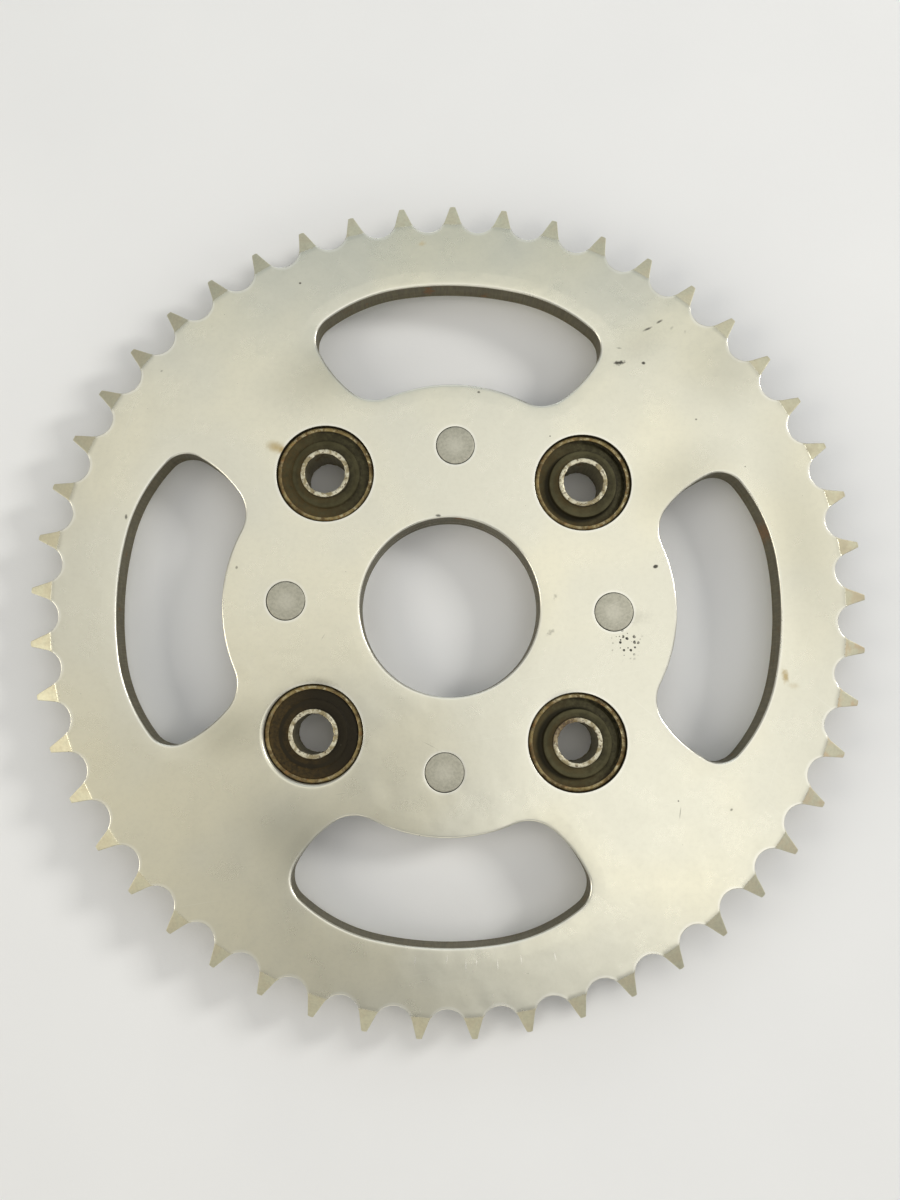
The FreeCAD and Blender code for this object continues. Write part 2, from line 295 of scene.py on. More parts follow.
class Build:
    """Collects points, faces and per-face material numbers of one piece."""

    def __init__(self):
        self.points = []
        self.faces = []
        self.finishes = []
        # grime_and_shade darkens a row's colour: dirt, and painted shade that deepens into recesses, down
        # walls and in the gaps between parts.
        self.masks = {"reach": [], "grime_and_shade": [], "side": []}
        self.count = 0

    def add_row(self, row, reach=9.0, grime_and_shade=0.0, side=0.0):
        """reach is the distance from a plate's nearest edge, or from a round piece's axis. side runs from -1
        on a round piece's lower left to 1 on its upper right."""
        start = self.count
        self.points.append(row)
        for mask, value in (("reach", reach), ("grime_and_shade", grime_and_shade), ("side", side)):
            self.masks[mask].append(np.broadcast_to(value, len(row)))
        self.count += len(row)
        return np.arange(start, self.count)

    def strip(self, lower, upper, finish=0):
        """Quads between two closed rows. They face right of the rows' direction, going lower to upper."""
        after_lower = np.roll(lower, -1)
        after_upper = np.roll(upper, -1)
        quads = np.column_stack([lower, after_lower, after_upper, upper])
        self.faces.extend(map(tuple, quads.tolist()))
        self.finishes.extend(np.broadcast_to(finish, len(quads)).tolist())

    def triangles(self, corners, finish=0):
        self.faces.extend(map(tuple, corners.tolist()))
        self.finishes.extend([finish] * len(corners))

    def finish(self, name, materials, weighted=False):
        mesh = bpy.data.meshes.new(name)
        points = np.vstack(self.points) * MM
        mesh.from_pydata(points.tolist(), [], self.faces)
        for material in materials:
            mesh.materials.append(material)
        mesh.polygons.foreach_set("material_index", self.finishes)
        for mask, values in self.masks.items():
            attribute = mesh.attributes.new(mask, "FLOAT", "POINT")
            attribute.data.foreach_set("value", np.concatenate(values).astype(np.float32))
        mesh.shade_smooth()
        mesh.set_sharp_from_angle(angle=SHARP_ANGLE)
        mesh.update()
        piece = placed(name, mesh)
        if weighted:
            modifier = piece.modifiers.new("even_shading", "WEIGHTED_NORMAL")
            modifier.keep_sharp = True
            modifier.weight = 80
        return piece


def inside_polygon(points, polygon):
    """Which points lie in a closed polygon, by counting crossings."""
    x1, y1 = polygon[:, 0], polygon[:, 1]
    x2, y2 = np.roll(x1, -1), np.roll(y1, -1)
    rise = np.where(y2 == y1, 1.0, y2 - y1)
    found = []
    for part in np.array_split(points, max(1, len(points) * len(polygon) // 2_000_000)):
        x, y = part[:, 0][:, None], part[:, 1][:, None]
        spans = (y1 > y) != (y2 > y)
        crossing = x < (x2 - x1) * (y - y1) / rise + x1
        found.append((spans & crossing).sum(axis=1) % 2 == 1)
    return np.concatenate(found)


def in_steel(points, outer, holes):
    """Which points lie inside the outer outline and outside the holes."""
    keep = inside_polygon(points, outer)
    for hole in holes:
        keep &= ~inside_polygon(points, hole)
    return keep


def filling(outer, holes, spacing, chance):
    """Points inside outer and outside holes, and the triangles that join them to the outlines."""
    reach = np.abs(outer).max()
    rows = []
    for k, y in enumerate(np.arange(-reach, reach, spacing * 0.87)):
        x = np.arange(-reach, reach, spacing) + (k % 2) * spacing / 2
        rows.append(np.column_stack([x, np.full(len(x), y)]))
    seeds = np.vstack(rows)
    jitter = np.array([[chance.uniform(-0.2, 0.2), chance.uniform(-0.2, 0.2)] for _ in range(len(seeds))])
    seeds = seeds + jitter * spacing
    seeds = seeds[in_steel(seeds, outer, holes)]
    loops = [outer, *holes]
    borders = np.vstack(loops)
    near = np.full(len(seeds), np.inf)
    for part in np.array_split(borders, max(1, len(borders) // 200)):
        gap = np.linalg.norm(seeds[:, None] - part[None], axis=2).min(axis=1)
        near = np.minimum(near, gap)
    seeds = seeds[near > spacing * 0.55]
    edges = []
    start = 0
    for loop in loops:
        size = len(loop)
        edges += [(start + i, start + (i + 1) % size) for i in range(size)]
        start += size
    everything = np.vstack([borders, seeds])
    solved = delaunay_2d_cdt([Vector(p) for p in everything.tolist()], edges, [], 0, 1e-6, True)
    origin = [found[0] for found in solved[3]]
    triangles = np.array([[origin[i] for i in face] for face in solved[2]])
    triangles = triangles[in_steel(everything[triangles].mean(axis=1), outer, holes)]
    a, b, c = (everything[triangles[:, i]] for i in range(3))
    area = (b[:, 0] - a[:, 0]) * (c[:, 1] - a[:, 1]) - (b[:, 1] - a[:, 1]) * (c[:, 0] - a[:, 0])
    triangles = np.where((area < 0)[:, None], triangles[:, ::-1], triangles)
    return seeds, triangles


# ---- plates


def bevel_drop(radius):
    """How far the teeth's bevel lies below the plate's face."""
    rise = TIP_RADIUS + BEVEL_OVERRUN - BEVEL_START_RADIUS
    rim_depth = BEVEL_DEPTH * rise / (TIP_RADIUS - BEVEL_START_RADIUS)
    t = np.clip((radius - BEVEL_START_RADIUS) / rise, 0, 1)
    return rim_depth * t - 4 * BEVEL_BULGE * t * (1 - t)


EDGE_TURNS = np.radians([0, 22, 45, 68, 90])


@dataclass
class Border:
    """One closed edge of a plate, and the rows of points across it from the lower face to the upper.

    rolls and edge_radii are for the lower and the upper edge; sink widens the hole below by a cone this wide
    and deep."""

    outline: np.ndarray
    rolls: tuple
    band: tuple
    wall_rows: int
    roughness: float = 0.0
    edge_radii: tuple = (0.3, 0.4)
    # Dirt and painted shade, darkening the edge's first rows and its wall.
    grime_and_shade: float = 0.0
    sink: tuple = None

    def __post_init__(self):
        self.normals = outward_normals(self.outline)

    def edge_at(self, height):
        """The outline this far above the lower face."""
        if self.sink is None:
            return self.outline
        width, depth = self.sink
        opening = width * np.clip(1 - np.broadcast_to(height, len(self.outline)) / depth, 0, 1)
        return self.outline - self.normals * opening[:, None]

    def face_rows(self, level, upward, radius, roll):
        """Rows from the wall over the rounded edge and inwards: (points, height, distance from the edge)."""
        rows = []
        edge = self.outline if upward > 0 else self.edge_at(0.0)
        radius = np.broadcast_to(radius, len(edge))
        for angle in EDGE_TURNS:
            distance = radius * (1 - math.cos(angle))
            drop = radius * (1 - math.sin(angle)) + roll
            rows.append((edge - self.normals * distance[:, None], level - upward * drop, distance))
        for distance in self.band:
            share = max(0.0, 1 - distance / self.band[-1])
            drop = roll * (0.45 * share + 0.55 * share**2)
            rows.append((edge - self.normals * distance, level - upward * drop, distance))
        return rows


SHEARED_FROM = 0.62


def wall_rows_between(border, low, high, chance):
    """Rows up a punched wall: a smooth sheared part under the upper edge and a rougher torn part below."""
    rows = []
    lumps = Ripple(chance, 1.2, 6.0)
    length = np.arange(len(border.outline)) * OUTLINE_SPACING
    for share in np.linspace(0, 1, border.wall_rows + 2)[1:-1]:
        torn = np.clip((SHEARED_FROM - share) / 0.06, 0, 1)
        depth = border.roughness * torn * (0.8 + 0.5 * lumps(length, length * 0 + share * 7))
        points = border.edge_at((high - low) * share) - border.normals * np.clip(depth, 0, 1)[:, None]
        rows.append((points, low + (high - low) * share))
    return rows


def plate(name, borders, rim, levels, materials, chance, dents):
    """A flat plate between two levels, with round-edged holes and either a toothed or a plain rim.

    dents are the greatest depths of the dents in the lower and the upper face."""
    build = Build()
    low, high = levels
    wave = Ripple(chance, 22, 70)
    mottle = Ripple(chance, 4, 11, 22)

    def lifted(points, z, upward):
        x, y = points[:, 0], points[:, 1]
        sag = dents[upward > 0] * (0.5 + 0.3 * wave(x, y) + 0.2 * mottle(x, y))
        return np.column_stack([x, y, z - upward * np.clip(sag, 0, 1)])

    lower_loops, upper_loops = [], []
    for border in borders:
        under = border.face_rows(low, -1, border.edge_radii[0], border.rolls[0])
        over = border.face_rows(high, 1, border.edge_radii[1], border.rolls[1])
        rows = []
        for k, (points, z, distance) in reversed(list(enumerate(under))):
            grime_and_shade = border.grime_and_shade * max(0.0, 1 - k / 4)
            rows.append((build.add_row(lifted(points, z, -1), distance, grime_and_shade), 0, points))
        wall_low, wall_high = under[0][1], over[0][1]
        for points, z in wall_rows_between(border, wall_low, wall_high, chance):
            flat = np.column_stack([points, np.broadcast_to(z, len(points))])
            rows.append((build.add_row(flat, 0.0, border.grime_and_shade), 1, points))
        for k, (points, z, distance) in enumerate(over):
            grime_and_shade = border.grime_and_shade * max(0.0, 1 - k / 4)
            rows.append((build.add_row(lifted(points, z, 1), distance, grime_and_shade), 1 if k == 0 else 0, points))
        for (lower, _, _), (upper, is_wall, _) in zip(rows, rows[1:]):
            build.strip(lower, upper, is_wall)
        lower_loops.append((rows[0][0], rows[0][2]))
        upper_loops.append((rows[-1][0], rows[-1][2]))
    if rim is not None:
        rows = rim(build, lifted)
        lower_loops.insert(0, rows[0])
        upper_loops.insert(0, rows[-1])
    for loops, z, upward in ((upper_loops, high, 1), (lower_loops, low, -1)):
        seeds, triangles = filling(loops[0][1], [points for _, points in loops[1:]], FILL_SPACING, chance)
        inner = build.add_row(lifted(seeds, np.full(len(seeds), z), upward))
        numbers = np.concatenate([ids for ids, _ in loops] + [inner])
        corners = numbers[triangles]
        build.triangles(corners if upward > 0 else corners[:, ::-1])
    return build.finish(name, materials, weighted=True)


RIM_RING_RADIUS = 92.6
RIM_EDGE_RADIUS = 0.15


def toothed_rim(chance):
    """Rows of the toothed rim: polar columns from the rim's outline in to a plain ring."""
    outline = tooth_outline(chance)
    normals = outward_normals(outline)

    def rows_of(build, lifted):
        def face(level, upward):
            rows = []
            for angle in EDGE_TURNS:
                points = outline - normals * RIM_EDGE_RADIUS * (1 - math.cos(angle))
                radius = np.hypot(points[:, 0], points[:, 1])
                drop = bevel_drop(radius) + RIM_EDGE_RADIUS * (1 - math.sin(angle))
                rows.append((points, level - upward * drop, 0.0))
            start = rows[-1][0]
            outer = np.hypot(start[:, 0], start[:, 1])
            heading = start / outer[:, None]
            crease = np.minimum(BEVEL_START_RADIUS, outer - 0.25)
            levels = [outer + (crease + 0.1 - outer) * t for t in (0.12, 0.3, 0.48, 0.66, 0.84, 1.0)]
            levels += [crease - 0.1 + (RIM_RING_RADIUS - crease + 0.1) * t for t in (0, 0.25, 0.55, 1.0)]
            for radius in levels:
                points = heading * radius[:, None]
                distance = np.minimum(outer - radius, 9.0)
                rows.append((points, level - upward * bevel_drop(radius), distance))
            return rows

        made = []
        under, over = face(JOINT_Z, -1), face(FRONT_Z, 1)
        for points, z, distance in reversed(under):
            made.append((build.add_row(lifted(points, z, -1), distance), 2, points))
        base, top = under[0][1], over[0][1]
        for share in (0.2, 0.4, 0.6, 0.8):
            z = base + (top - base) * share
            made.append((build.add_row(np.column_stack([outline, z]), 0.0), 1, outline))
        for k, (points, z, distance) in enumerate(over):
            made.append((build.add_row(lifted(points, z, 1), distance), 1 if k == 0 else 2, points))
        for (lower, _, start), (upper, finish, end) in zip(made, made[1:]):
            middle = np.hypot(*(start + end).T) / 2
            is_bevel = (middle > BEVEL_START_RADIUS) & (finish == 2)
            build.strip(lower, upper, np.where(is_bevel, 2, finish % 2))
        return [(made[0][0], made[0][2]), (made[-1][0], made[-1][2])]

    return rows_of


# ---- round pieces


# The bearing of the upper right: the rubber is pulled back on this side, and it is the lit side, towards
# which the side mask for painted shade and painted highlight runs.
WORN_AND_LIT_SIDE = math.radians(25.0)


def lathe(name, centre, count, profile, materials, ends=None):
    """A round piece from profile rows of (radius, height, grime and painted shade), up its outside, in and
    down.

    A fourth number is the row's material. With ends, the first and last rows are closed by points on the
    axis at those two heights; otherwise the last row joins the first."""
    build = Build()
    angles = ring_angles(count)
    rows = []
    for radius, z, grime_and_shade, *finish in profile:
        radius, z = np.broadcast_to(radius, count), np.broadcast_to(z, count)
        points = np.column_stack([centre + polar(radius, angles), z])
        rows.append((build.add_row(points, radius, grime_and_shade, np.cos(angles - WORN_AND_LIT_SIDE)), sum(finish)))
    pairs = list(zip(rows, rows[1:]))
    if ends is None:
        pairs.append((rows[-1], rows[0]))
    for (lower, _), (upper, finish) in pairs:
        build.strip(lower, upper, finish)
    if ends is not None:
        for row, z, is_top in ((rows[0], ends[0], False), (rows[-1], ends[1], True)):
            pole = build.add_row(np.array([[centre[0], centre[1], z]]), 0.0, 0.0)
            ring, after = row[0], np.roll(row[0], -1)
            fan = np.column_stack([ring, after, np.full(count, pole[0])])
            build.triangles(fan if is_top else fan[:, ::-1], row[1])
    return build.finish(name, materials)


def both_ends(rows, low, high):
    """A closed profile from one end's rows, given as (radius, depth below the end, grime and painted shade).
    """
    top = [(radius, high - depth, *rest) for radius, depth, *rest in rows]
    return top + [(radius, low + depth, *rest) for radius, depth, *rest in reversed(rows)]


def outer_sleeve(name, chance, materials):
    """The bush's outer tube, with a lumpy rusted rim at each end."""
    count = 168
    angles = ring_angles(count)
    lumps = around(chance, angles, (3, 5, 8, 13, 21, 34), 0.05)
    nicks = around(chance, angles, (7, 17, 29, 41), 0.04)
    dip = np.clip(around(chance, angles, (2, 3, 7, 19), 0.06), -0.02, 0.12)
    rows = [
        (12.0, 3.4, 1.0),
        (12.0, 0.95, 0.8),
        (11.93, 0.68, 0.7),
        (11.82, 0.42 + dip, 0.4),
        (11.68 + lumps, 0.18 + dip, 0.1),
        (11.48 + lumps, 0.05 + dip, 0.0),
        (11.24 + nicks, 0.02 + dip, 0.0),
        (11.0 + nicks, 0.05 + dip, 0.0),
        (10.82 + nicks * 0.7, 0.17 + dip, 0.1),
        (10.8 + nicks * 0.3, 0.38, 0.5),
        (10.95, 0.75, 0.9),
        (11.0, 2.0, 1.0),
        (11.0, 3.6, 1.0),
    ]
    low, high = millimetre_box("bush_outer_sleeve_" + name)
    profile = both_ends(rows, low[2], high[2])
    return lathe("outer_sleeve_" + name, BUSH_CENTRES[name], count, profile, materials)


def inner_sleeve(name, chance, materials):
    """The bush's inner tube, whose ends are rough and worn bright where the bolt and the hub clamp it."""
    count = 144
    angles = ring_angles(count)
    chips = np.clip(around(chance, angles, (3, 5, 9, 14, 23, 37), 0.1), -0.06, 0.16)
    burrs = around(chance, angles, (4, 7, 11, 19, 31), 0.04)
    tilt = np.clip(around(chance, angles, (1, 2, 5, 12), 0.035), -0.04, 0.08) + 0.04
    rows = [
        (6.0, 5.0, 0.2, 1),
        (6.0, 0.85, 0.5, 1),
        (6.0, 0.4, 0.3),
        (5.985, 0.18 + tilt, 0.1),
        (5.92 + burrs * 0.4, 0.05 + tilt, 0.0),
        (5.76 + burrs, 0.01 + tilt, 0.0),
        (5.58 + burrs, tilt, 0.0),
        (5.36 + burrs, 0.01 + tilt, 0.0),
        (5.1 + chips, 0.03 + tilt, 0.0),
        (4.93 + chips, 0.1 + tilt, 0.0),
        (4.88 + chips, 0.26, 0.2),
        (4.94 + np.abs(chips) * 0.3, 0.6, 0.6, 1),
        (5.0, 1.4, 0.5, 1),
        (5.0, 3.0, 0.4, 1),
        (5.0, 5.2, 0.4, 1),
    ]
    profile = both_ends(rows, 0.0, SLEEVE_TOP_Z)
    return lathe("inner_sleeve_" + name, BUSH_CENTRES[name], count, profile, materials)


PAD_RADIUS = 8.4
PAD_DROP = 0.5
GROOVE_DROPS = {"upper_right": 1.9, "upper_left": 1.3, "lower_left": 0.9, "lower_right": 1.7}
GROOVE_PULLS = {"upper_right": 1.3, "upper_left": 0.3, "lower_left": 0.25, "lower_right": 1.1}
PAD_SHIFTS = {
    "upper_right": (0.05, -0.3),
    "upper_left": (0.15, -0.05),
    "lower_left": (-0.1, -0.05),
    "lower_right": (0.05, -0.28),
}


def bush_rubber(name, chance, materials):
    """The moulded ring: a pad round the inner sleeve, a groove outside it, rubber up both sleeves."""
    count = 144
    angles = ring_angles(count)
    floor = GROOVE_DROPS[name]
    step = floor - PAD_DROP
    sleeve_drop = FRONT_Z - millimetre_box("bush_outer_sleeve_" + name)[1][2]
    lip = max(floor - 0.28, sleeve_drop + 0.3)
    pull = GROOVE_PULLS[name] * np.clip(np.cos(angles - WORN_AND_LIT_SIDE), 0, 1) ** 1.5
    shift = PAD_SHIFTS[name][0] * np.cos(angles) + PAD_SHIFTS[name][1] * np.sin(angles)
    wander = around(chance, angles, (2, 3, 5, 9), 0.05)
    rough = around(chance, angles, (4, 7, 12, 20), 0.03)
    pad = PAD_RADIUS - 0.15 + shift + wander
    rows = [
        (11.03, 4.5, 0.4),
        (11.03, lip + rough * 2 + pull, 1.0),
        (10.88, lip + 0.08 + rough + pull, 1.0),
        (10.62, (lip + 2 * floor) / 3 + 0.04 + rough + pull * 0.9, 1.0),
        (10.2, floor + rough * 0.6 + pull * 0.5, 0.8),
        (9.75, floor - 0.02 + rough * 0.6, 0.6),
        (pad * 0.4 + 9.4 * 0.6, floor - 0.05 * step, 0.7),
        (pad + 0.36, floor - 0.14 * step, 0.9),
        (pad + 0.2, floor - 0.42 * step, 0.9),
        (pad + 0.1, floor - 0.72 * step, 0.7),
        (pad, PAD_DROP + 0.12, 0.3),
        (pad - 0.14, PAD_DROP + 0.035, 0.0),
        (pad - 0.36, PAD_DROP + 0.01 + rough * 0.3, 0.0),
        (pad - 0.9, PAD_DROP + 0.03 + rough * 0.4, 0.1),
        (pad * 0.5 + 3.45, PAD_DROP + 0.06 + rough * 0.5, 0.3),
        (6.6, PAD_DROP + 0.05 + rough * 0.4, 0.6),
        (6.3, PAD_DROP + 0.02 + rough * 0.4, 0.8),
        (6.08, PAD_DROP + 0.01, 1.0),
        (5.98, PAD_DROP + 0.15, 1.0),
        (5.98, 2.5, 0.4),
        (5.98, 4.5, 0.4),
    ]
    rows = [(radius, np.maximum(depth, PAD_DROP), grime_and_shade) for radius, depth, grime_and_shade in rows]
    profile = both_ends(rows, BACK_Z, FRONT_Z)
    return lathe("moulded_rubber_" + name, BUSH_CENTRES[name], count, profile, materials)


RIVET_END_RADIUS = 4.7
RIVET_HEAD_RADIUS = 6.92
RIVET_SINK_DEPTH = 2.2


def rivet(name, chance, materials):
    """Flush and slightly domed at the front inside its open ring, countersunk at the back."""
    count = 96
    angles = ring_angles(count)
    outline = around(chance, angles, (2, 3, 5, 8, 13), 0.03) - 0.01
    tilt = 0.02 * np.cos(angles - chance.uniform(0, 6.3))
    off_centre = 0.05 * np.cos(angles - math.radians(50))
    end = RIVET_END_RADIUS + np.minimum(outline + off_centre, 0.06)
    profile = [(radius, BACK_Z + 0.05 + 0.02 * math.cos(radius * 1.7), 0.0) for radius in (0.8, 2, 3.4, 4.8)]
    profile += [
        (6.2, BACK_Z + 0.05, 0.1),
        (6.65, BACK_Z + 0.08, 0.4),
        (RIVET_HEAD_RADIUS - 0.05, BACK_Z + 0.2, 0.9),
        (RIVET_HEAD_RADIUS, BACK_Z + 0.35, 1.0),
        (RIVET_HOLE_RADIUS + 0.05, BACK_Z + RIVET_SINK_DEPTH + 0.1, 1.0),
        (RIVET_HOLE_RADIUS, FRONT_Z - 1.5, 1.0),
        (end, FRONT_Z - 1.45, 1.0),
        (end, FRONT_Z - 0.45, 1.0),
        (end - 0.01, FRONT_Z - 0.2 + tilt, 0.6),
        (end - 0.07, FRONT_Z - 0.1 + tilt, 0.1),
        (end - 0.2, FRONT_Z - 0.07 + tilt, 0.0),
    ]
    for radius in (4.2, 3.8, 3.4, 3.0, 2.5, 2.0, 1.5, 1.0, 0.5):
        dome = 0.03 * (radius / RIVET_END_RADIUS) ** 2
        hammered = around(chance, angles, (2, 3, 4, 6), 0.008 * min(1.0, radius))
        profile.append((radius, FRONT_Z - 0.02 - dome + tilt * radius / 4.5 - np.abs(hammered), 0.0))
    ends = (BACK_Z + 0.05, FRONT_Z - 0.025)
    return lathe("rivet_" + name + "_peened", RIVET_CENTRES[name], count, profile, materials, ends)


# ---- finishes


class Finish:
    """A procedural material. Its helpers add nodes and take numbers, colours or other nodes' outputs.

    Where a term may be weighted it is a node's output, or the pair (output, weight)."""

    def __init__(self, name, metallic=1.0, roughness=0.5, specular=0.5):
        self.material = bpy.data.materials.new(name)
        self.material.use_nodes = True
        self.tree = self.material.node_tree
        self.surface = self.tree.nodes["Principled BSDF"]
        fixed = {"Metallic": metallic, "Roughness": roughness, "Specular IOR Level": specular}
        self.join(self.surface, fixed)
        place = self.node("TexCoord").outputs["Object"]
        self.place = self.node("VectorMath", {0: place, 3: 1 / MM}, operation="SCALE").outputs[0]
        self.ragged = None
        self.colour = None

    def join(self, node, sockets):
        for key, value in sockets.items():
            if isinstance(value, bpy.types.NodeSocket):
                self.tree.links.new(value, node.inputs[key])
            else:
                node.inputs[key].default_value = value

    def node(self, kind, sockets=None, **settings):
        made = self.tree.nodes.new("ShaderNode" + kind)
        for key, value in settings.items():
            setattr(made, key, value)
        self.join(made, sockets or {})
        return made

    def math(self, operation, first, second=0.0, clamp=False):
        return self.node("Math", {0: first, 1: second}, operation=operation, use_clamp=clamp).outputs[0]

    def times(self, first, second):
        return self.math("MULTIPLY", first, second)

    def fold(self, operation, terms):
        values = [self.times(*term) if isinstance(term, tuple) else term for term in terms]
        result = values[0]
        for value in values[1:]:
            result = self.math(operation, result, value)
        return result

    def total(self, *terms):
        return self.fold("ADD", terms)

    def most(self, *terms):
        return self.fold("MAXIMUM", terms)

    def rest_of(self, whole, *terms):
        """What the strongest term leaves of the whole."""
        return self.math("SUBTRACT", whole, self.most(*terms), True)

    def between(self, value, low, high, at_low=0.0, at_high=1.0):
        sockets = {"Value": value, "From Min": low, "From Max": high, "To Min": at_low, "To Max": at_high}
        return self.node("MapRange", sockets, interpolation_type="SMOOTHSTEP").outputs[0]

    def stretched(self, scale, angle=0.0, offset=(0.0, 0.0, 0.0)):
        """Coordinates in units of scale along axes turned by angle about +Z."""
        sockets = {"Vector": self.place, "Location": offset, "Rotation": (0.0, 0.0, angle), "Scale": scale}
        return self.node("Mapping", sockets, vector_type="TEXTURE").outputs[0]

    def noise(self, size, detail=3.0, roughness=0.5, place=None):
        """Noise from 0 to 1 whose features are about size across."""
        sockets = {"Vector": place or self.place, "Scale": 1 / size, "Detail": detail, "Roughness": roughness}
        return self.node("TexNoise", sockets).outputs[0]

    def specks(self, spacing, radius, share, dimensions="3D"):
        """Small dots: one per cell of this spacing, in this share of the cells."""
        sockets = {"Vector": self.place, "Scale": 1 / spacing}
        cells = self.node("TexVoronoi", sockets, voronoi_dimensions=dimensions)
        chosen = self.node("SeparateColor", {0: cells.outputs["Color"]})
        size = self.times(chosen.outputs[1], radius / spacing)
        is_dot = self.math("LESS_THAN", cells.outputs["Distance"], size)
        return self.times(is_dot, self.math("LESS_THAN", chosen.outputs[0], share))

    def spot(self, centre, size, angle=0.0, softness=0.5, ragged=0.0):
        """1 inside an ellipse of these half-lengths and 0 outside; noise can make its edge ragged."""
        place = self.stretched((size[0], size[1], 1000.0), math.radians(angle), (centre[0], centre[1], 0.0))
        reach = self.node("VectorMath", {0: place}, operation="LENGTH").outputs["Value"]
        if ragged:
            if self.ragged is None:
                self.ragged = self.math("SUBTRACT", self.noise(0.7, 4.0, 0.65), 0.5)
            reach = self.total(reach, (self.ragged, 4 * ragged))
        return self.between(reach, 1.0, 1.0 - softness)

    def mask(self, name):
        return self.node("Attribute", attribute_name=name, attribute_type="GEOMETRY").outputs["Fac"]

    def mix(self, share, first, second):
        sockets = {0: share}
        for key, colour in ((6, first), (7, second)):
            sockets[key] = colour if isinstance(colour, bpy.types.NodeSocket) else (*colour, 1.0)
        return self.node("Mix", sockets, data_type="RGBA", blend_type="MIX").outputs[2]

    def over(self, colour, *share):
        """Lays a colour over those so far; share is a mask, and its strength if that isn't 1."""
        share = self.times(*share) if len(share) == 2 else share[0]
        self.colour = self.mix(share, self.colour, colour)

    def made(self, roughness, metallic, *heights):
        """Links the colour and whatever else varies. heights are fine relief, in millimetres."""
        relief = {"Height": self.total(*heights), "Distance": MM, "Strength": 1.0}
        normal = self.node("Bump", relief).outputs["Normal"]
        varying = {"Base Color": self.colour, "Roughness": roughness, "Metallic": metallic, "Normal": normal}
        self.join(self.surface, {key: value for key, value in varying.items() if value is not None})
        return self.material


# Marks on the plate's front: (x, y, half-length, half-width, degrees, softness, raggedness, strength)
DARK_MARKS = (
    (50.0, 11.5, 0.8, 0.55, 20, 0.5, 0.12, 0.95),
    (47.2, 71.4, 1.7, 0.4, 27, 0.8, 0.15, 0.9),
    (50.1, 73.4, 1.2, 0.38, 33, 0.8, 0.15, 0.85),
    (40.3, 62.4, 2.0, 0.75, 12, 0.8, 0.5, 0.95),
    (46.3, 62.6, 0.62, 0.5, 0, 0.6, 0.1, 0.95),
    (40.1, 66.2, 0.9, 0.3, -5, 0.9, 0.2, 0.5),
    (53.3, 71.9, 0.8, 0.5, 60, 1.0, 0.3, 0.3),
    (56.6, 71.0, 0.7, 0.5, 80, 1.0, 0.3, 0.25),
    (-40.2, 80.0, 0.42, 0.36, 0, 0.6, 0.1, 0.9),
    (-73.4, 56.2, 0.5, 0.3, 30, 0.8, 0.2, 0.4),
    (59.6, 48.7, 0.4, 0.32, 0, 0.7, 0.1, 0.7),
    (69.0, -46.6, 0.5, 0.36, 40, 0.8, 0.2, 0.55),
    (56.7, -47.7, 2.0, 0.16, 84, 0.9, 0.1, 0.5),
    (25.6, 3.3, 1.1, 0.6, 70, 1.0, 0.5, 0.3),
    (24.7, -5.4, 1.5, 0.8, 40, 1.0, 0.6, 0.3),
    (-3.6, 22.3, 0.9, 0.4, 0, 0.6, 0.2, 0.8),
    (5.4, 53.7, 0.45, 0.36, 0, 0.6, 0.2, 0.8),
    (-79.9, 19.3, 0.4, 0.8, 0, 0.7, 0.2, 0.8),
    (-52.3, 7.8, 0.4, 0.5, 0, 0.7, 0.2, 0.6),
    (-30.5, -8.4, 1.3, 0.13, 60, 0.9, 0.1, 0.3),
    (-3.8, -33.6, 2.6, 0.14, -25, 0.9, 0.1, 0.35),
    (-24.6, -45.8, 1.8, 0.12, 10, 0.9, 0.1, 0.3),
)
BROWN_MARKS = (
    (-44.2, 38.0, 3.4, 2.0, -14, 1.0, 0.1, 0.8),
    (-42.8, 37.4, 2.4, 1.7, -30, 1.0, 0.1, 0.9),
    (81.9, -14.2, 1.2, 2.4, 10, 0.9, 0.3, 0.75),
    (-10.0, 91.4, 1.5, 1.0, 20, 1.0, 0.3, 0.45),
    (84.0, -16.5, 1.8, 1.2, 0, 1.0, 0.3, 0.25),
)
SMUDGES = (
    (44.0, -1.5, 7.0, 2.5, 10, 1.0, 0.4, 0.12),
    (45.5, 67.5, 9.0, 6.0, 35, 1.0, 0.3, 0.10),
)
# Broad areas of the face painted darker: painted reflection of dim surroundings
PAINTED_DARK_REFLECTIONS = (
    (56.3, 33.0, 20.0, 13.0, 30, 1.0, 0.0, 0.30),
    (-33.0, 57.0, 22.0, 13.0, 30, 1.0, 0.0, 0.34),
    (-31.0, -58.0, 24.0, 13.0, -20, 1.0, 0.0, 0.36),
    (86.0, 20.0, 14.0, 40.0, 12, 1.0, 0.0, 0.27),
    (66.0, 62.0, 15.0, 15.0, 0, 1.0, 0.0, 0.22),
    (-53.0, -31.0, 15.0, 11.0, 0, 1.0, 0.0, 0.34),
)
BRIGHT_SCRATCHES = (
    (-5.5, -84.0, 1.6, 0.12, 88, 0.9, 0.0, 1.0),
    (2.0, -83.4, 1.2, 0.1, 84, 0.9, 0.0, 1.0),
    (6.5, -84.8, 2.0, 0.13, 92, 0.9, 0.0, 1.0),
    (9.0, -83.8, 1.1, 0.1, 86, 0.9, 0.0, 1.0),
    (14.0, -84.3, 1.6, 0.12, 95, 0.9, 0.0, 1.0),
    (19.5, -83.0, 1.3, 0.1, 99, 0.9, 0.0, 1.0),
    (27.5, -82.0, 1.4, 0.11, 104, 0.9, 0.0, 1.0),
)
SPECKLED_PATCH = ((43.2, -7.7), (4.6, 4.8))
# Painted shade in arcs beside two bushes: (bush, bearing, reach, strength)
PAINTED_SHADE_ARCS = (("lower_left", 84.0, 14.4, 0.5), ("lower_right", 110.0, 13.4, 0.35))

